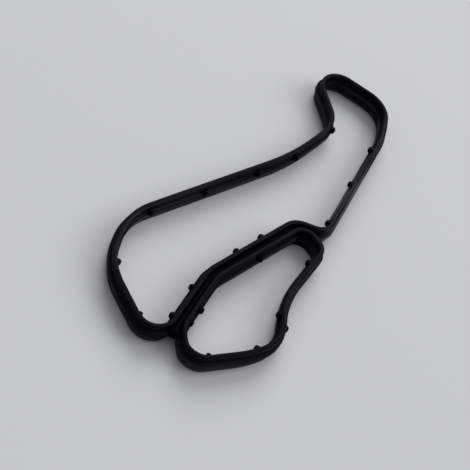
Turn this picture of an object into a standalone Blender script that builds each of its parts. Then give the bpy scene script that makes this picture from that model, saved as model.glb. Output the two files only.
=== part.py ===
# Profile gasket: one moulded rubber wall on edge, round two loops that share a stretch.
# Lengths are in millimetres and become metres where a mesh is made.
# +Z is up, the long loop runs along X, and the origin is under the middle of the outline.

import math

import bmesh
import bpy
from mathutils import Vector

METRE = 0.001

# Wall section, the same at the crest and at the foot
WALL_HEIGHT = 7.5
RIB_WIDTH = 3.0
RIB_FLAT = 1.2
RIB_FLANK = 0.5
NECK_WIDTH = 1.2
BEAD_WIDTH = 1.5
BEAD_LAND = 0.6
BEAD_DEPTH = 1.1
BEAD_FLANK = 0.3

# Shared stretch, where two walls stand side by side on a web
WALL_PITCH = 3.2
WEB_HEIGHT = 2.6

# Nubs on the inner side of the wall, and the lower bumps, one on each side
NUB_LENGTH = 1.8
NUB_DEPTH = 0.75
NUB_HEIGHT = 2.1
NUB_EASE = 0.45
BUMP_DEPTH = 0.4

# Corners of the hooked loop, clockwise from above: along, across, bend radius at the wall's middle
HOOK_CORNERS = (
    (72.5, 8.0, 7.0),
    (69.5, -24.0, 10.5),
    (54.5, -27.5, 32.0),
    (0.0, -25.0, 5.5),
    (-2.5, -14.0, 7.0),
    (-38.0, 1.5, 12.5),
    (-61.5, 3.0, 7.0),
    (-70.0, 7.0, 6.0),
    (-53.5, 27.5, 22.5),
    (-34.5, 31.0, 24.0),
    (23.5, -3.5, 92.0),
    (42.5, -9.5, 2.5),
    (49.0, -10.0, 12.0),
)
SHARED_BEND_INDEX = 5

# The pear loop follows the shared bend at the wall pitch: its top corner stands past the hooked
# loop's corner there, and its foot corner stops short of the one at the other end
PEAR_TOP_PAST = 1.3
PEAR_TOP_RADIUS = 4.5
PEAR_BEND_RADIUS = 13.0
PEAR_FOOT_SHORT = 1.0
PEAR_FOOT_RADIUS = 9.5

# The pear loop's other corners, clockwise from its top
PEAR_CORNERS = (
    (-7.0, -26.5, 4.5),
    (-32.0, -22.5, 37.5),
    (-48.0, -27.5, 14.0),
    (-57.5, -20.5, 37.5),
    (-67.5, -9.5, 6.0),
    (-67.5, -4.0, 5.0),
)

# Places on a loop: a corner's number, and the share of the way to the next corner
HOOK_WEB_SHARES = (3.7, 6.05)
PEAR_WEB_SHARES = (0.4, -1.99)
HOOK_NUB_SHARES = (2.13, 2.51, 2.89, 4.34, 4.62, 5.26, 5.81, 7.27, 8.17, 9.13, 9.45, 9.78, 10.13, 11.68)
PEAR_NUB_SHARES = (1.22, 2.33, 3.64, 4.85, 7.5, 8.5)
PEAR_INNER_BUMP_SHARES = (7.23,)
PEAR_OUTER_BUMP_SHARES = (2.6,)

# Facets
BEND_SAG = 0.06
BEND_STEP = math.radians(12)
NOSE_FACETS = 6
WEB_FACETS = 24

RUBBER_COLOUR = (0.01, 0.012, 0.014, 1.0)
RUBBER_ROUGHNESS = 0.62


def left_of(direction):
    return Vector((-direction.y, direction.x))


def right_of(direction):
    return Vector((direction.y, -direction.x))


class Loop:
    """A closed outline of straight runs and round bends, travelled clockwise."""

    def __init__(self, corners):
        self.corners = [Vector(corner[:2]) for corner in corners]
        count = len(self.corners)
        self.heading = []
        self.run = []
        for index, corner in enumerate(self.corners):
            step = self.corners[(index + 1) % count] - corner
            self.run.append(step.length)
            self.heading.append(step.normalized())
        self.turn = [self.heading[index - 1].angle_signed(self.heading[index]) for index in range(count)]
        reach = [abs(corner[2] * math.tan(turn / 2)) for corner, turn in zip(corners, self.turn)]
        room = [min(1.0, self.run[i] / (reach[i] + reach[(i + 1) % count])) for i in range(count)]
        self.reach = [reach[i] * min(room[i], room[i - 1]) for i in range(count)]
        self.radius = [self.reach[i] / math.tan(abs(self.turn[i]) / 2) for i in range(count)]
        self.bend = [self.radius[i] * abs(self.turn[i]) for i in range(count)]

    def on_bend(self, index, share):
        """Point and heading at a share of the way round one bend."""
        angle = -self.turn[index] * share
        heading = self.heading[index - 1]
        side = left_of(heading) if angle > 0 else right_of(heading)
        start = self.corners[index] - heading * self.reach[index]
        ahead = heading * (self.radius[index] * math.sin(abs(angle)))
        aside = side * (self.radius[index] * (1 - math.cos(angle)))
        return start + ahead + aside, heading * math.cos(angle) + side * math.sin(abs(angle))

    def at(self, place):
        """Point and heading at a place, counted between the middles of the bends."""
        count = len(self.corners)
        index = math.floor(place) % count
        following = (index + 1) % count
        straight = self.run[index] - self.reach[index] - self.reach[following]
        whole = self.bend[index] / 2 + straight + self.bend[following] / 2
        gone = (place - math.floor(place)) * whole
        if gone < self.bend[index] / 2:
            return self.on_bend(index, 0.5 + gone / self.bend[index])
        if gone > self.bend[index] / 2 + straight:
            return self.on_bend(following, 0.5 - (whole - gone) / self.bend[following])
        along = self.reach[index] + gone - self.bend[index] / 2
        return self.corners[index] + self.heading[index] * along, self.heading[index]

    def stations(self):
        """The outline's points and headings, with each bend in even steps."""
        found = []
        for index in range(len(self.corners)):
            step = min(BEND_STEP, 2 * math.acos(1 - BEND_SAG / self.radius[index]))
            steps = max(1, math.ceil(abs(self.turn[index]) / step))
            for number in range(steps + 1):
                found.append(self.on_bend(index, number / steps))
        return found


def pear_corners():
    """The shared side is the hooked loop's own, moved out by the wall pitch."""
    before, bend, after = [Vector(HOOK_CORNERS[SHARED_BEND_INDEX + step][:2]) for step in (-1, 0, 1)]
    coming = (bend - before).normalized()
    going = (after - bend).normalized()
    middle = (left_of(coming) + left_of(going)).normalized()
    corner = bend + middle * (WALL_PITCH / middle.dot(left_of(coming)))
    top = corner - coming * ((bend - before).length + PEAR_TOP_PAST)
    foot = corner + going * ((after - bend).length - PEAR_FOOT_SHORT)
    return (
        (top.x, top.y, PEAR_TOP_RADIUS),
        *PEAR_CORNERS,
        (foot.x, foot.y, PEAR_FOOT_RADIUS),
        (corner.x, corner.y, PEAR_BEND_RADIUS),
    )


def section():
    """The wall's outline in its own plane: sideways from the middle, and height."""
    land = BEAD_LAND / 2
    edge = BEAD_WIDTH / 2 - land
    round_part = math.sin(math.radians(45)) * edge
    rib_foot = (WALL_HEIGHT - RIB_FLAT) / 2
    side = [
        (land, 0.0),
        (land + round_part, edge - round_part),
        (BEAD_WIDTH / 2, edge),
        (BEAD_WIDTH / 2, BEAD_DEPTH),
        (NECK_WIDTH / 2, BEAD_DEPTH + BEAD_FLANK),
        (NECK_WIDTH / 2, rib_foot - RIB_FLANK),
        (RIB_WIDTH / 2, rib_foot),
    ]
    side += [(across, WALL_HEIGHT - height) for across, height in reversed(side)]
    return side + [(-across, height) for across, height in reversed(side)]


def wall_shape(loop):
    """The section carried round a loop, as points and faces."""
    outline = section()
    width = len(outline)
    points = []
    for place, heading in loop.stations():
        for across, height in outline:
            points.append((*(place + right_of(heading) * across), height))
    faces = []
    total = len(points)
    for start in range(0, total, width):
        for number in range(width):
            following = (number + 1) % width
            ahead = (start + width) % total
            faces.append((start + number, start + following, ahead + following, ahead + number))
    return points, faces


def stack(levels):
    """A closed shape through outlines that lie one above the other, as points and faces."""
    count = len(levels[0][0])
    points = [(*point, height) for outline, height in levels for point in outline]
    last = len(points) - count
    faces = [tuple(range(count)), tuple(range(last, len(points)))]
    for start in range(0, last, count):
        for number in range(count):
            one, two = start + number, start + (number + 1) % count
            faces.append((one, two, two + count, one + count))
    return points, faces


def web_shape(hook, pear):
    """The strip between the middles of the two walls, as a row of quads in plan."""
    rows = []
    for number in range(WEB_FACETS + 1):
        share = number / WEB_FACETS
        rows.append([
            loop.at(first + (last - first) * share)[0]
            for loop, (first, last) in ((hook, HOOK_WEB_SHARES), (pear, PEAR_WEB_SHARES))
        ])
    low = (WALL_HEIGHT - WEB_HEIGHT) / 2
    high = low + WEB_HEIGHT
    points = [(*point, height) for row in rows for point in row for height in (low, high)]
    faces = [(0, 1, 3, 2)]
    for start in range(0, 4 * WEB_FACETS, 4):
        for one, two in ((0, 2), (2, 3), (3, 1), (1, 0)):
            faces.append((start + one, start + two, start + 4 + two, start + 4 + one))
    last = 4 * WEB_FACETS
    faces.append((last, last + 1, last + 3, last + 2))
    return points, faces


def nub_shape(loop, place, reach, side):
    """An upright pip with a round nose and eased ends, rooted in the middle of the wall."""
    middle, heading = loop.at(place)
    out = side(heading)
    nose = (RIB_WIDTH - NUB_LENGTH) / 2 + reach
    low = (WALL_HEIGHT - NUB_HEIGHT) / 2
    high = low + NUB_HEIGHT
    levels = []
    for height, ease in ((low, NUB_EASE), (low + NUB_EASE, 0), (high - NUB_EASE, 0), (high, NUB_EASE)):
        half = NUB_LENGTH / 2 - ease
        outline = [middle - heading * half]
        for number in range(NOSE_FACETS + 1):
            angle = math.pi * number / NOSE_FACETS
            outline.append(middle - heading * (half * math.cos(angle)) + out * (nose + half * math.sin(angle)))
        outline.append(middle + heading * half)
        levels.append((outline, height))
    return stack(levels)


def together(shapes):
    """Several closed shapes as one list of points and faces."""
    points = []
    faces = []
    for more_points, more_faces in shapes:
        first = len(points)
        points += more_points
        faces += [tuple(first + corner for corner in face) for face in more_faces]
    return points, faces


def add_object(name, shape, middle):
    """A mesh object with its faces pointing out."""
    points, faces = shape
    mesh = bpy.data.meshes.new(name)
    mesh.from_pydata([(Vector(point) - middle) * METRE for point in points], [], faces)
    work = bmesh.new()
    work.from_mesh(mesh)
    bmesh.ops.recalc_face_normals(work, faces=work.faces)
    work.to_mesh(mesh)
    work.free()
    made = bpy.data.objects.new(name, mesh)
    bpy.context.collection.objects.link(made)
    return made


def join_to(target, piece):
    """Unites a hidden piece with the target."""
    piece.hide_render = True
    piece.display_type = "WIRE"
    union = target.modifiers.new(piece.name, "BOOLEAN")
    union.operation = "UNION"
    union.solver = "EXACT"
    union.object = piece


def rubber():
    material = bpy.data.materials.new("black_rubber")
    material.use_nodes = True
    shader = material.node_tree.nodes["Principled BSDF"]
    shader.inputs["Base Color"].default_value = RUBBER_COLOUR
    shader.inputs["Roughness"].default_value = RUBBER_ROUGHNESS
    shader.inputs["Metallic"].default_value = 0.0
    return material


def build():
    for item in list(bpy.data.objects):
        bpy.data.objects.remove(item, do_unlink=True)
    hook = Loop(HOOK_CORNERS)
    pear = Loop(pear_corners())
    hook_wall = wall_shape(hook)
    pear_wall = wall_shape(pear)
    nubs = together(
        [nub_shape(hook, place, NUB_DEPTH, right_of) for place in HOOK_NUB_SHARES]
        + [nub_shape(pear, place, NUB_DEPTH, right_of) for place in PEAR_NUB_SHARES]
        + [nub_shape(pear, place, BUMP_DEPTH, right_of) for place in PEAR_INNER_BUMP_SHARES]
        + [nub_shape(pear, place, BUMP_DEPTH, left_of) for place in PEAR_OUTER_BUMP_SHARES]
    )
    spread = hook_wall[0] + pear_wall[0] + nubs[0]
    along = [point[0] for point in spread]
    across = [point[1] for point in spread]
    middle = Vector(((min(along) + max(along)) / 2, (min(across) + max(across)) / 2, 0.0))
    gasket = add_object("gasket", hook_wall, middle)
    join_to(gasket, add_object("pear_wall", pear_wall, middle))
    join_to(gasket, add_object("web", web_shape(hook, pear), middle))
    join_to(gasket, add_object("nubs", nubs, middle))
    gasket.data.materials.append(rubber())
    gasket.data.shade_smooth()
    gasket.data.set_sharp_from_angle(angle=math.radians(35))


build()
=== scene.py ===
import math

import bpy
import numpy as np
from mathutils import Matrix, Vector


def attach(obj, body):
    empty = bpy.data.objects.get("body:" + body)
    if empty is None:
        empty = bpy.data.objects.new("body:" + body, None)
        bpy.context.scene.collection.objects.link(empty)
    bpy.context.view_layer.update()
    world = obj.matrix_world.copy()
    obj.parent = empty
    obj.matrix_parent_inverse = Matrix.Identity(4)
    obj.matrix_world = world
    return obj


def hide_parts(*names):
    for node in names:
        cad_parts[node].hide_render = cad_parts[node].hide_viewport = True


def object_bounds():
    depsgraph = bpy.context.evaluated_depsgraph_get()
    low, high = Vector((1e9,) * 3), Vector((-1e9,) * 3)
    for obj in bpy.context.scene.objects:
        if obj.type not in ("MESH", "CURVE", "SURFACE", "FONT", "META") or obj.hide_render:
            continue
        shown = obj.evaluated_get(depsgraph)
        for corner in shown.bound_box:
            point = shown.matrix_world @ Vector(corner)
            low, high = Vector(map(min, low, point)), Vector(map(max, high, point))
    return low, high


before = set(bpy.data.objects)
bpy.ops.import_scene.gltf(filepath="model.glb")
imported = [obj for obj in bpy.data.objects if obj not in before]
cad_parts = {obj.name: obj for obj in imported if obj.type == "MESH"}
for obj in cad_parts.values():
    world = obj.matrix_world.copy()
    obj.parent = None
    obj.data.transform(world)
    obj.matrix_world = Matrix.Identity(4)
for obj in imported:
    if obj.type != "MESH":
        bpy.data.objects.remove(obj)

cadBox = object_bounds()
mm = 0.001                   # the shapes are worked out in millimetres

# The wall's section: a bead at the foot and one at the crest, a neck by each, and a rib half-way up
wallSection = {
    "height": 7.5,
    "ribHalf": 1.5,          # half widths
    "neckHalf": 0.6,
    "beadHalf": 0.75,
    "landHalf": 0.3,         # of the flat that a bead stands on
    "ribFlat": 1.2,          # heights
    "ribFlank": 0.5,
    "beadDepth": 1.1,
    "beadFlank": 0.3,
    "flankEase": 0.4,        # 0 is a straight flank on the rib, 1 a fully eased one
    "plainHeights": [0.75, 1.0, 1.7, 2.1, 3.35],
    "creaseAbove": 50.0,     # degrees between two faces
}

# The two loops' corners, clockwise from above: along, across, bend radius at the wall's middle
loopShape = {
    "hookCorners": [
        (72.5, 8.0, 7.0), (69.5, -24.0, 10.5), (54.5, -27.5, 32.0), (0.0, -25.0, 5.5), (-2.5, -14.0, 7.0),
        (-38.0, 1.5, 12.5), (-61.5, 3.0, 7.0), (-70.0, 7.0, 6.0), (-53.5, 27.5, 22.5), (-34.5, 31.0, 24.0),
        (23.5, -3.5, 92.0), (42.5, -9.5, 2.5), (49.0, -10.0, 12.0),
    ],
    "sharedBend": 5,         # the hooked loop's corner in the middle of the shared stretch
    "wallPitch": 3.2,
    "pearTopPast": 1.3,
    "pearTopRadius": 4.5,
    "pearBendRadius": 13.0,
    "pearFootShort": 1.0,
    "pearFootRadius": 9.5,
    "pearCorners": [
        (-7.0, -26.5, 4.5), (-32.0, -22.5, 37.5), (-48.0, -27.5, 14.0), (-57.5, -20.5, 37.5),
        (-67.5, -9.5, 6.0), (-67.5, -4.0, 5.0),
    ],
    "spacing": 1.1,          # between two sections along the wall
}

# The pips on the wall. A place is a corner's number and the share of the way to the next corner
nubShape = {
    "hookPlaces": [2.15, 2.52, 2.91, 4.35, 4.64, 5.33, 5.87, 7.24, 8.06, 9.12, 9.44, 9.77, 10.08, 11.48],
    "pearPlaces": [1.28, 2.37, 3.66, 4.84, 7.44, 8.48],
    "innerBumps": [7.17],
    "outerBumps": [2.64],
    "middle": 5.1,           # above the floor, as the photograph's near walls show them over the crest
    "halfLength": 0.7,
    "depth": 0.85,           # past the rib
    "bumpDepth": 0.4,
    "height": 2.4,
    "squareness": 6,         # 2 is an ellipse up the wall, more is squarer
    "heightShares": [1.0, 0.996, 0.985, 0.95, 0.89, 0.8, 0.6],
    "alongShares": [0.0, 0.3, 0.55, 0.75, 0.88, 0.96, 0.995, 1.05],
    "evenFrom": 1.3,         # half lengths from a pip's middle to the wall's even steps
}

# The trough of rubber that joins the two walls where they run side by side
webShape = {
    "hookShares": (3.7, 6.5),
    "pearShares": (0.4, -2.42),
    "height": 2.6,
    "rise": 1.6,             # how far its faces climb up the two walls
    "roundedEnd": 0.05,      # share of its length in each rounded end
    "thinnest": 0.15,
    "rows": 120,
    "columns": 13,
}


def bendSizes(corners):
    # A corner's bend touches its two runs at radius times the tangent of half the turn from the corner.
    place = corners[:, :2]
    step = np.roll(place, -1, 0) - place
    run = np.linalg.norm(step, axis=1)
    heading = step / run[:, None]
    before = np.roll(heading, 1, 0)
    cross = before[:, 0] * heading[:, 1] - before[:, 1] * heading[:, 0]
    turn = np.arctan2(cross, (before * heading).sum(1))
    reach = corners[:, 2] * np.tan(np.abs(turn) / 2)
    arc = corners[:, 2] * np.abs(turn)
    straight = run - reach - np.roll(reach, -1)
    return place, heading, before, turn, reach, arc, straight


def walkLoop(corners, distance):
    # The distance falls on a bend or on the straight after it. On a bend of radius r the point goes ahead by
    # r sin(a) and aside by r (1 - cos(a)), where a is the distance gone over r.
    place, heading, before, turn, reach, arc, straight = bendSizes(corners)
    marks = np.concatenate([[0.0], np.cumsum(np.stack([arc, straight], 1).ravel())])
    gone = np.mod(distance, marks[-1])
    piece = np.clip(np.searchsorted(marks, gone, side="right") - 1, 0, len(marks) - 2)
    corner = piece // 2
    local = gone - marks[piece]
    bent = piece % 2 == 0
    radius = corners[corner, 2]
    angle = np.where(bent, local / radius, 0.0)
    ahead = before[corner]
    aside = np.stack([-ahead[:, 1], ahead[:, 0]], 1) * np.sign(turn[corner])[:, None]
    forward = (radius * np.sin(angle))[:, None]
    sideways = (radius * (1 - np.cos(angle)))[:, None]
    onBend = place[corner] - ahead * reach[corner][:, None] + ahead * forward + aside * sideways
    onRun = place[corner] + heading[corner] * (reach[corner] + local)[:, None]
    turned = ahead * np.cos(angle)[:, None] + aside * np.sin(angle)[:, None]
    point = np.where(bent[:, None], onBend, onRun)
    direction = np.where(bent[:, None], turned, heading[corner])
    return point, direction


def distanceAt(corners, share):
    # Shares count from the middle of one bend to the middle of the next, in even steps of distance between.
    arc, straight = bendSizes(corners)[5:]
    starts = np.concatenate([[0.0], np.cumsum(arc + straight)])
    middles = np.concatenate([starts[:-1] + arc / 2, [starts[-1] + arc[0] / 2]])
    share = np.mod(np.asarray(share, float), len(corners))
    return np.interp(share, np.arange(len(corners) + 1), middles)


def loopLength(corners):
    # The sum of all bends and straights.
    arc, straight = bendSizes(corners)[5:]
    return float((arc + straight).sum())


def wayToNearest(distance, places, length):
    # The distance along a closed loop to the nearest of some places, the short way round.
    return np.abs(np.mod(distance[:, None] - places[None, :] + length / 2, length) - length / 2).min(1)


def pearLoopCorners(shape):
    # The shared side is the hooked loop's own, moved out by the wall pitch.
    hook = np.array(shape["hookCorners"])[:, :2]
    before, bend, after = hook[shape["sharedBend"] - 1:shape["sharedBend"] + 2]
    coming = (bend - before) / np.linalg.norm(bend - before)
    going = (after - bend) / np.linalg.norm(after - bend)
    leftOfComing = np.array([-coming[1], coming[0]])
    middle = leftOfComing + np.array([-going[1], going[0]])
    corner = bend + middle * shape["wallPitch"] / middle.dot(leftOfComing)
    top = corner - coming * (np.linalg.norm(bend - before) + shape["pearTopPast"])
    foot = corner + going * (np.linalg.norm(after - bend) - shape["pearFootShort"])
    return np.array(
        [(*top, shape["pearTopRadius"])] + shape["pearCorners"]
        + [(*foot, shape["pearFootRadius"]), (*corner, shape["pearBendRadius"])]
    )


def easeStep(value, low, high):
    # 0 below low, 1 above high, and 3t^2 - 2t^3 between
    share = np.clip((value - low) / (high - low), 0, 1)
    return share * share * (3 - 2 * share)


def sectionHeights(section, nub):
    # Heights from the foot to the crest. A bead's edge takes even angles, edge (1 - cos(a)), the flanks take
    # even steps, all of it is mirrored at half height, and each end of a pip adds some close ones.
    edge = section["beadHalf"] - section["landHalf"]
    rib = section["height"] / 2 - section["ribFlat"] / 2
    half = np.concatenate([
        edge * (1 - np.cos(np.linspace(0, math.pi / 2, 7))),
        np.linspace(section["beadDepth"], section["beadDepth"] + section["beadFlank"], 5),
        np.linspace(rib - section["ribFlank"], rib, 7),
        section["plainHeights"],
    ])
    end = nub["height"] / 2 * np.array(nub["heightShares"])
    nubHeights = np.concatenate([nub["middle"] - end, nub["middle"] + end])
    middle = [section["height"] / 2]
    return np.sort(np.concatenate([half, middle, section["height"] - half, nubHeights]))


def halfWidth(section, height):
    # The land plus the root of edge^2 - (edge - d)^2, where d is the way down from the crest or up from the
    # foot, less the neck, plus the rib, each eased in over its flank.
    down = np.minimum(height, section["height"] - height)
    edge = section["beadHalf"] - section["landHalf"]
    width = section["landHalf"] + np.sqrt(np.maximum(edge ** 2 - np.maximum(edge - down, 0) ** 2, 0))
    neck = easeStep(down, section["beadDepth"], section["beadDepth"] + section["beadFlank"])
    width -= (section["beadHalf"] - section["neckHalf"]) * neck
    rib = section["height"] / 2 - section["ribFlat"] / 2
    flank = np.clip((down - rib + section["ribFlank"]) / section["ribFlank"], 0, 1)
    flank = (1 - section["flankEase"]) * flank + section["flankEase"] * easeStep(flank, 0, 1)
    return width + (section["ribHalf"] - section["neckHalf"]) * flank


def nubReach(nub, depth, section, distance, height, places, length):
    # A rounded nose: its reach from the wall's middle is the nose's centre plus the root of r^2 - d^2, and up
    # the wall it falls off as the root of 1 - t^squareness, where t goes from 0 at its middle to 1 at an end.
    gap = wayToNearest(distance, places, length)
    radius = nub["halfLength"]
    centre = section["ribHalf"] + depth - radius
    nose = np.where(gap < radius, centre + np.sqrt(np.maximum(radius ** 2 - gap ** 2, 0)), 0)
    level = np.abs(height - nub["middle"]) / (nub["height"] / 2)
    return nose[:, None] * np.sqrt(np.maximum(1 - level ** nub["squareness"], 0))[None, :]


def ringDistances(corners, spacing, places, nub):
    # Even steps along the wall, with closer ones over each pip.
    length = loopLength(corners)
    even = np.linspace(0, length, int(length / spacing), endpoint=False)
    half = np.array(nub["alongShares"]) * nub["halfLength"]
    local = np.concatenate([-half[:0:-1], half])
    near = np.mod(places[:, None] + local[None, :], length).ravel()
    far = wayToNearest(even, places, length) > nub["halfLength"] * nub["evenFrom"]
    return np.sort(np.concatenate([even[far], near]))


def wallMesh(name, corners, pips):
    # The section's two sides at every ring: x is the half width to the inner side, then to the outer side,
    # widened where a pip stands. Rings and sides close on themselves. Pips: places, depth, inner side or not.
    length = loopLength(corners)
    places = [distanceAt(corners, shares) for shares, depth, inside in pips]
    distance = ringDistances(corners, loopShape["spacing"], np.concatenate(places), nubShape)
    height = sectionHeights(wallSection, nubShape)
    innerSide = np.tile(halfWidth(wallSection, height), (len(distance), 1))
    outerSide = innerSide.copy()
    for place, (shares, depth, inside) in zip(places, pips):
        side = innerSide if inside else outerSide
        reach = nubReach(nubShape, depth, wallSection, distance, height, place, length)
        np.maximum(side, reach, out=side)
    across = np.concatenate([innerSide, -outerSide[:, ::-1]], 1)
    up = np.broadcast_to(np.concatenate([height, height[::-1]]), across.shape)
    point, direction = walkLoop(corners, distance)
    inward = np.stack([direction[:, 1], -direction[:, 0]], 1)
    grid = np.empty(across.shape + (3,))
    grid[..., :2] = point[:, None] + inward[:, None] * across[..., None]
    grid[..., 2] = up
    around = np.concatenate([[0.0], np.cumsum(np.hypot(np.diff(across[0]), np.diff(up[0])))])
    return gridMesh(name, grid, distance, length, around)


def gridMesh(name, grid, along, length, around):
    # A grid of points closed both ways. In its UV map u is the way along the wall and v the way round the
    # section, which closes over the foot's flat.
    rows, columns = grid.shape[:2]
    r, c = np.meshgrid(np.arange(rows), np.arange(columns), indexing="ij")
    r2, c2 = (r + 1) % rows, (c + 1) % columns
    faces = np.stack([r * columns + c, r * columns + c2, r2 * columns + c2, r2 * columns + c], -1)
    alongEnd = np.append(along[1:], along[0] + length)
    aroundEnd = np.append(around[1:], around[-1] + wallSection["landHalf"] * 2)
    u = np.stack([along[r], along[r], alongEnd[r], alongEnd[r]], -1).reshape(-1)
    v = np.stack([around[c], aroundEnd[c], aroundEnd[c], around[c]], -1).reshape(-1)
    return fillMesh(name, grid.reshape(-1, 3), faces.reshape(-1, 4), np.stack([u, v], 1))


def fillMesh(name, points, faces, uv):
    # Millimetres become metres, for the points and for the UV map alike.
    mesh = bpy.data.meshes.new(name)
    mesh.from_pydata(points * mm, [], faces)
    layer = mesh.uv_layers.new(name="wallRun")
    layer.data.foreach_set("uv", (uv * mm).astype(np.float32).ravel())
    mesh.update()
    made = bpy.data.objects.new(name, mesh)
    bpy.context.collection.objects.link(made)
    return made


def evenWalk(corners, first, last, share):
    # Distances from one place on the loop to another: start plus share times the span, the way round on
    # which last lies from first.
    length = loopLength(corners)
    start, end = distanceAt(corners, first), distanceAt(corners, last)
    span = np.mod(end - start + length / 2, length) - length / 2
    if (span > 0) != (last > first):
        span += math.copysign(length, last - first)
    return start + span * share


def webMesh(name, hook, pear, shape):
    # Between the two walls' middles, its upper face stands at half the web's height and climbs with the
    # square of the way from the channel's middle. Each end is a quarter of an ellipse. The lower face is the
    # upper one's mirror image.
    share = np.linspace(0, 1, shape["rows"])
    one = walkLoop(hook, evenWalk(hook, *shape["hookShares"], share))[0]
    other = walkLoop(pear, evenWalk(pear, *shape["pearShares"], share))[0]
    way = np.linspace(0, 1, shape["columns"])
    climb = shape["height"] / 2 + shape["rise"] * (2 * way - 1) ** 2
    toEnd = np.clip(1 - np.minimum(share, 1 - share) / shape["roundedEnd"], 0, 1)
    ending = np.sqrt(1 - toEnd ** 2)[:, None]
    climb = shape["thinnest"] / 2 * (1 - ending) + climb * ending
    way = np.concatenate([way, way[::-1]])
    lift = np.concatenate([climb, -climb[:, ::-1]], 1)
    grid = np.empty((len(share), len(way), 3))
    grid[..., :2] = one[:, None] * (1 - way)[None, :, None] + other[:, None] * way[None, :, None]
    grid[..., 2] = wallSection["height"] / 2 + lift
    rows, columns = grid.shape[:2]
    r, c = np.meshgrid(np.arange(rows - 1), np.arange(columns), indexing="ij")
    c2 = (c + 1) % columns
    sides = np.stack([r * columns + c, r * columns + c2, (r + 1) * columns + c2, (r + 1) * columns + c], -1)
    ends = [np.arange(columns)[::-1], np.arange((rows - 1) * columns, rows * columns)]
    points = grid.reshape(-1, 3)
    plan = points[np.concatenate([sides.ravel(), *ends]), :2]
    return fillMesh(name, points, sides.reshape(-1, 4).tolist() + [end.tolist() for end in ends], plan)


def turnOut(piece):
    # A closed shape's volume is a sixth of the sum of a . (b x c) over its triangles, below 0 if inside out.
    mesh = piece.data
    mesh.calc_loop_triangles()
    corners = np.empty(len(mesh.loop_triangles) * 3, np.int32)
    mesh.loop_triangles.foreach_get("vertices", corners)
    points = np.empty(len(mesh.vertices) * 3)
    mesh.vertices.foreach_get("co", points)
    a, b, c = points.reshape(-1, 3)[corners.reshape(-1, 3)].transpose(1, 0, 2)
    if (a * np.cross(b, c)).sum() < 0:
        mesh.flip_normals()


def uniteWith(target, pieces):
    # One moulded body from shapes that run into each other.
    for piece in pieces:
        union = target.modifiers.new(piece.name, "BOOLEAN")
        union.operation = "UNION"
        union.solver = "MANIFOLD"
        union.object = piece
    depsgraph = bpy.context.evaluated_depsgraph_get()
    united = bpy.data.meshes.new_from_object(target.evaluated_get(depsgraph), depsgraph=depsgraph)
    target.modifiers.clear()
    target.data = united
    for piece in pieces:
        bpy.data.objects.remove(piece, do_unlink=True)


# Where the colour is near black, in millimetres: painted shade in the channel between the two walls, and
# black on the pips
channelShadeAndPipShape = {
    "offCrest": (0.0, 0.7),  # from a wall's middle
    "ends": (3.6, 7.0),      # both ways added up, where the walls part
    "top": (6.8, 8.0),
    "pip": (0.08, 0.25),     # past the wall's own section
    "linePoints": 1200,
    "blocks": 10,
}


def nearestWay(points, corners, shape):
    # The shortest way in plan to a loop's middle line, over blocks of closely spaced places on it: the root
    # of |a|^2 + |b|^2 - 2 a.b, least over the line.
    line = walkLoop(corners, np.linspace(0, loopLength(corners), shape["linePoints"]))[0]
    a = points[:, :2].astype(np.float32)
    own = (a ** 2).sum(1)
    least = np.full(len(a), np.inf, np.float32)
    for block in np.array_split(line.astype(np.float32), shape["blocks"]):
        squared = own[:, None] + (block ** 2).sum(1)[None, :] - 2 * a @ block.T
        least = np.minimum(least, squared.min(1))
    return np.sqrt(np.maximum(least, 0))


def channelShadeAndPipShare(points, hook, pear, shape):
    # Painted shade in the channel and black on the pips. In the channel the two ways to the walls' middles
    # add up to little more than the wall pitch. It is off both crests and below them, each condition eased. A
    # pip is further out than the wall's own section.
    toHook = nearestWay(points, hook, shape)
    toPear = nearestWay(points, pear, shape)
    nearer = np.minimum(toHook, toPear)
    between = easeStep(nearer, *shape["offCrest"]) * (1 - easeStep(toHook + toPear, *shape["ends"]))
    between = between * (1 - easeStep(points[:, 2], *shape["top"]))
    return np.maximum(between, easeStep(nearer - halfWidth(wallSection, points[:, 2]), *shape["pip"]))


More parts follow.
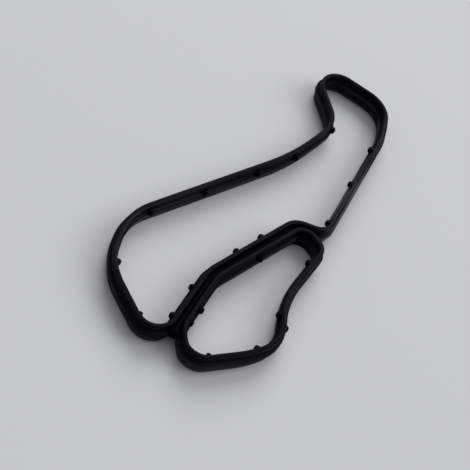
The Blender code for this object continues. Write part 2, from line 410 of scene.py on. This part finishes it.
# Lengths are in metres, and scales are repeats per metre
rubberLook = {
    "deep": (0.0010, 0.0027, 0.0050, 1.0),
    # lighter grey: wear, with painted highlights and painted shade from the height ramp and the stretches
    "wearAndHighlight": (0.068, 0.075, 0.082, 1.0),
    # near black: painted shade in the channel between the walls, and black on the pips
    "channelShadeAndPipBlack": (0.0001, 0.0005, 0.0014, 1.0),
    # pale dust, with painted light at the foot
    "dustAndFootLight": (0.085, 0.090, 0.095, 1.0),
    "dustAndFootLightAmount": 0.8,
    "dustAndFootLightPatches": [(0.3, 0.2), (0.7, 1.0)],
    "roughness": (0.42, 0.62),
    "specular": 0.04,
    "specularTint": (0.7, 0.88, 1.0, 1.0),
    "streaks": (30.0, 1100.0),        # along the wall and round the section
    "streakDetail": (3.0, 0.55),
    "streakRange": (0.44, 0.58),
    "streakShare": (0.0, 1.6),
    "broad": (22.0, 88.0),            # the slow change, along and round
    "broadDetail": (1.0, 0.5),
    "broadRange": (0.35, 0.65),
    "broadShare": (0.2, 0.58),
    # Stretches that are greyer or blacker than the rest, wear with painted highlight and painted shade:
    # middle, half size, and share of the wear and painted light there
    "wearHighlightAndShade": [
        ((0.028, -0.0275, 0.004), (0.036, 0.012, 0.03), 8.0),
        ((0.022, 0.002, 0.004), (0.030, 0.012, 0.03), 0.8),
        ((-0.034, -0.006, 0.004), (0.036, 0.014, 0.03), 0.42),
        ((-0.045, 0.029, 0.004), (0.017, 0.011, 0.03), 2.2),
        ((-0.068, 0.001, 0.004), (0.014, 0.026, 0.03), 0.5),
        ((0.066, 0.006, 0.004), (0.013, 0.02, 0.03), 0.3),
        ((-0.036, -0.024, 0.004), (0.011, 0.009, 0.03), 2.0),
    ],
    "wearHighlightAndShadeEdge": (0.5, 1.0),
    "patches": 160.0,
    "patchDetail": (4.0, 0.6),
    "grain": 5200.0,
    "grainDetail": (2.0, 0.5),
    "ridgeBump": (0.5, 0.00006),      # strength and distance
    "poreBump": (0.35, 0.00003),
    # Shares of the wear, with painted highlights at the bead and rib edges and painted light at the foot, and
    # of the dust, with painted light at the foot, from the foot, 0, to the crest, 1
    "wearAndHighlightByHeight": [
        (0.0, 1.0), (0.2, 1.0), (0.28, 0.7), (0.38, 0.6), (0.44, 0.95), (0.5, 0.7), (0.56, 0.75),
        (0.6, 0.25), (0.82, 0.08), (0.9, 0.12), (0.945, 0.42), (0.985, 0.18), (1.0, 0.11),
    ],
    "dustAndFootLightByHeight": [
        (0.0, 1.0), (0.1, 0.8), (0.2, 0.25), (0.3, 0.0), (0.42, 0.0), (0.5, 0.08), (0.58, 0.0),
    ],
}


def addNode(tree, kind, inputs=None, **settings):
    # Sets the node's own settings first, then links or fills its inputs.
    node = tree.nodes.new(kind)
    for key, value in settings.items():
        setattr(node, key, value)
    for key, value in (inputs or {}).items():
        if isinstance(value, bpy.types.NodeSocket):
            tree.links.new(value, node.inputs[key])
        else:
            node.inputs[key].default_value = value
    return node


def mixColours(tree, share, one, other):
    # On a Mix node for colours, inputs 6 and 7 are the two colours and output 2 is the mixed one.
    return addNode(tree, "ShaderNodeMix", {0: share, 6: one, 7: other}, data_type="RGBA").outputs[2]


def rampOf(tree, value, stops):
    ramp = addNode(tree, "ShaderNodeValToRGB", {"Fac": value})
    points = ramp.color_ramp.elements
    while len(points) < len(stops):
        points.new(0.5)
    for point, (place, grey) in zip(points, stops):
        point.position = place
        point.color = (grey, grey, grey, 1)
    return ramp.outputs["Color"]


def rangeOf(tree, value, fromRange, toRange):
    return addNode(tree, "ShaderNodeMapRange", {
        "Value": value, "From Min": fromRange[0], "From Max": fromRange[1],
        "To Min": toRange[0], "To Max": toRange[1]}).outputs["Result"]


def productOf(tree, shares):
    whole = shares[0]
    for share in shares[1:]:
        whole = addNode(tree, "ShaderNodeMath", {0: whole, 1: share}, operation="MULTIPLY").outputs[0]
    return whole


def noiseOf(tree, vector, scale, detail, roughness):
    return addNode(tree, "ShaderNodeTexNoise", {
        "Vector": vector, "Scale": scale, "Detail": detail, "Roughness": roughness}).outputs["Fac"]


def stretchedNoise(tree, run, scales, detail, roughness):
    # Noise on the wall's own run, with one scale along it and another round its section.
    stretched = addNode(tree, "ShaderNodeMapping", {"Vector": run, "Scale": (*scales, 1.0)}).outputs["Vector"]
    return noiseOf(tree, stretched, 1.0, detail, roughness)


def wearHighlightAndShadeShare(tree, position, place, half, share, edge):
    # The share inside an ellipsoid, and 1 outside, by the length of (position - place) / half size.
    scale = [1 / size for size in half]
    local = addNode(tree, "ShaderNodeMapping", {
        "Vector": position, "Scale": scale, "Location": [-p * k for p, k in zip(place, scale)]})
    away = addNode(tree, "ShaderNodeVectorMath", {0: local.outputs["Vector"]}, operation="LENGTH")
    return rangeOf(tree, away.outputs["Value"], edge, (share, 1.0))


def mouldedRubber(look):
    # Near black, greyer by the product of the streaks, the height on the wall, a slow change along it and the
    # stretches, which adds wear with painted highlights and painted shade, then pale dust with painted light
    # by the foot, and painted shade in the channel and black on the pips.
    material = bpy.data.materials.new("mouldedRubber")
    material.use_nodes = True
    tree = material.node_tree
    shader = tree.nodes["Principled BSDF"]
    run = addNode(tree, "ShaderNodeUVMap", uv_map="wallRun").outputs["UV"]
    position = addNode(tree, "ShaderNodeTexCoord").outputs["Object"]
    streaks = stretchedNoise(tree, run, look["streaks"], *look["streakDetail"])
    broad = stretchedNoise(tree, run, look["broad"], *look["broadDetail"])
    patches = noiseOf(tree, position, look["patches"], *look["patchDetail"])
    grain = noiseOf(tree, position, look["grain"], *look["grainDetail"])
    height = addNode(tree, "ShaderNodeSeparateXYZ", {"Vector": position}).outputs["Z"]
    level = rangeOf(tree, height, (0.0, wallSection["height"] * mm), (0.0, 1.0))
    # The lighter grey's share: wear, with painted highlights at the bead and rib edges and the foot, and
    # painted highlight and painted shade on some stretches
    wearAndHighlight = productOf(tree, [
        rangeOf(tree, streaks, look["streakRange"], look["streakShare"]),
        rampOf(tree, level, look["wearAndHighlightByHeight"]),
        rangeOf(tree, broad, look["broadRange"], look["broadShare"]),
    ] + [
        wearHighlightAndShadeShare(tree, position, place, half, share, look["wearHighlightAndShadeEdge"])
        for place, half, share in look["wearHighlightAndShade"]
    ])
    base = mixColours(tree, wearAndHighlight, look["deep"], look["wearAndHighlight"])
    patchy = rampOf(tree, patches, look["dustAndFootLightPatches"])
    # Pale dust by the foot, with painted light there
    dustAndFootLightShare = productOf(tree, [rampOf(tree, level, look["dustAndFootLightByHeight"]), patchy, look["dustAndFootLightAmount"]])
    withDustAndFootLight = mixColours(tree, dustAndFootLightShare, base, look["dustAndFootLight"])
    # Near black: painted shade in the channel between the walls, and black on the pips
    channelShadeAndPipBlack = addNode(tree, "ShaderNodeAttribute", attribute_name="channelShadeAndPipBlack").outputs["Fac"]
    tree.links.new(mixColours(tree, channelShadeAndPipBlack, withDustAndFootLight, look["channelShadeAndPipBlack"]), shader.inputs["Base Color"])
    tree.links.new(rangeOf(tree, patches, (0.0, 1.0), look["roughness"]), shader.inputs["Roughness"])
    shader.inputs["Specular IOR Level"].default_value = look["specular"]
    shader.inputs["Specular Tint"].default_value = look["specularTint"]
    strength, distance = look["ridgeBump"]
    ridges = addNode(tree, "ShaderNodeBump", {
        "Height": streaks, "Strength": strength, "Distance": distance}).outputs["Normal"]
    strength, distance = look["poreBump"]
    pores = addNode(tree, "ShaderNodeBump", {
        "Height": grain, "Strength": strength, "Distance": distance, "Normal": ridges}).outputs["Normal"]
    tree.links.new(pores, shader.inputs["Normal"])
    return material


def mouldedGasket(nub):
    # Both walls and the web, made one body.
    hook = np.array(loopShape["hookCorners"])
    pear = pearLoopCorners(loopShape)
    gasket = wallMesh("gasketRubber", hook, [(nub["hookPlaces"], nub["depth"], True)])
    pearWall = wallMesh("pearWall", pear, [
        (nub["pearPlaces"], nub["depth"], True),
        (nub["innerBumps"], nub["bumpDepth"], True),
        (nub["outerBumps"], nub["bumpDepth"], False),
    ])
    web = webMesh("web", hook, pear, webShape)
    for piece in (gasket, pearWall, web):
        turnOut(piece)
    print("walls and web made:", *[len(piece.data.polygons) for piece in (gasket, pearWall, web)], "faces")
    uniteWith(gasket, [pearWall, web])
    return gasket, hook, pear


def finishGasket(gasket, hook, pear):
    # Marks where painted shade goes in the channel and black on the pips, then moves the body to the solid's
    # place, its box's middle over the origin.
    points = np.empty(len(gasket.data.vertices) * 3, np.float32)
    gasket.data.vertices.foreach_get("co", points)
    points = points.reshape(-1, 3)
    # Where the channel's painted shade and the pips' black go
    channelShadeAndPipBlack = gasket.data.attributes.new("channelShadeAndPipBlack", "FLOAT", "POINT")
    channelShadeAndPipBlack.data.foreach_set("value", channelShadeAndPipShare(points / mm, hook, pear, channelShadeAndPipShape).astype(np.float32))
    shift = (points.min(0) + points.max(0)) / 2
    points[:, :2] -= shift[:2]
    # The solid's bends have flat faces, so the round ones are drawn in by a hair to stay inside its box
    points[:, :2] *= np.minimum(np.array(cadBox[1])[:2] / points.max(0)[:2], 1)
    gasket.data.vertices.foreach_set("co", points.ravel())
    gasket.data.shade_smooth()
    gasket.data.set_sharp_from_angle(angle=math.radians(wallSection["creaseAbove"]))
    gasket.data.materials.clear()
    gasket.data.materials.append(mouldedRubber(rubberLook))
    print("gasket united:", len(gasket.data.polygons), "faces, moved by", shift[:2] / mm)


gasket, hookCorners, pearCorners = mouldedGasket(nubShape)
finishGasket(gasket, hookCorners, pearCorners)
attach(gasket, "root")
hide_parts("gasket")

floorLook = {
    "colour": (0.602, 0.624, 0.650, 1.0),
    "roughness": 0.75,
    "size": 4.0,
}


def paleFloor(look):
    mesh = bpy.data.meshes.new("floor")
    half = look["size"] / 2
    corners = [(-half, -half, 0), (half, -half, 0), (half, half, 0), (-half, half, 0)]
    mesh.from_pydata(corners, [], [(0, 1, 2, 3)])
    floor = bpy.data.objects.new("floor", mesh)
    bpy.context.collection.objects.link(floor)
    material = bpy.data.materials.new("paleFloor")
    material.use_nodes = True
    shader = material.node_tree.nodes["Principled BSDF"]
    shader.inputs["Base Color"].default_value = look["colour"]
    shader.inputs["Roughness"].default_value = look["roughness"]
    mesh.materials.append(material)


lightSet = {
    "worldColour": (0.93, 0.97, 1.0, 1.0),
    "worldStrength": (0.13, 0.62),
    "lampColour": (1.0, 0.995, 0.985),
    # Each lamp: its place, its width and its power; both look at the origin
    "lamps": {
        "farLamp": ((3.65, 0.7, 2.75), 3.6, 132.0),
        "sideLamp": ((1.7, -3.2, 2.75), 3.6, 88.0),
    },
}


def softLight(setting):
    # The room is lighter overhead: its strength goes from the horizon's to the ceiling's with height squared.
    world = bpy.data.worlds.new("softRoom")
    world.use_nodes = True
    tree = world.node_tree
    background = tree.nodes["Background"]
    background.inputs["Color"].default_value = setting["worldColour"]
    up = addNode(tree, "ShaderNodeTexCoord").outputs["Generated"]
    level = addNode(tree, "ShaderNodeSeparateXYZ", {"Vector": up}).outputs["Z"]
    square = productOf(tree, [level, level])
    strength = rangeOf(tree, square, (0.0, 1.0), setting["worldStrength"])
    tree.links.new(strength, background.inputs["Strength"])
    bpy.context.scene.world = world
    for name, (place, width, power) in setting["lamps"].items():
        lamp = bpy.data.lights.new(name, "AREA")
        lamp.shape = "DISK"
        lamp.size = width
        lamp.energy = power
        lamp.color = setting["lampColour"]
        made = bpy.data.objects.new(name, lamp)
        bpy.context.collection.objects.link(made)
        turned = (-Vector(place)).to_track_quat("-Z", "Y").to_matrix().to_4x4()
        made.matrix_world = Matrix.Translation(Vector(place)) @ turned


cameraView = {
    "place": (-0.29477, -0.00122, 0.29904),
    "down": 47.0,            # degrees
    "roll": 29.69,
    "focal": 1315.7,         # in pixels of the photograph
    "frameWidth": 470,
    "sensor": 36.0,
    "clip": (0.01, 20.0),
}


def photoCamera(view):
    # Looks along +X and down, then turns about its own axis.
    down, roll = math.radians(view["down"]), math.radians(view["roll"])
    right = Vector((0, -1, 0))
    above = Vector((math.sin(down), 0, math.cos(down)))
    ahead = Vector((math.cos(down), 0, -math.sin(down)))
    x = right * math.cos(roll) + above * math.sin(roll)
    y = above * math.cos(roll) - right * math.sin(roll)
    camera = bpy.data.cameras.new("camera")
    camera.sensor_width = view["sensor"]
    camera.lens = view["focal"] * view["sensor"] / view["frameWidth"]
    camera.clip_start, camera.clip_end = view["clip"]
    made = bpy.data.objects.new("camera", camera)
    bpy.context.collection.objects.link(made)
    turned = Matrix((x, y, -ahead)).transposed().to_4x4()
    made.matrix_world = Matrix.Translation(Vector(view["place"])) @ turned
    bpy.context.scene.camera = made


paleFloor(floorLook)
softLight(lightSet)
photoCamera(cameraView)
bpy.context.scene.view_settings.view_transform = "Standard"
print("floor, light and camera set")
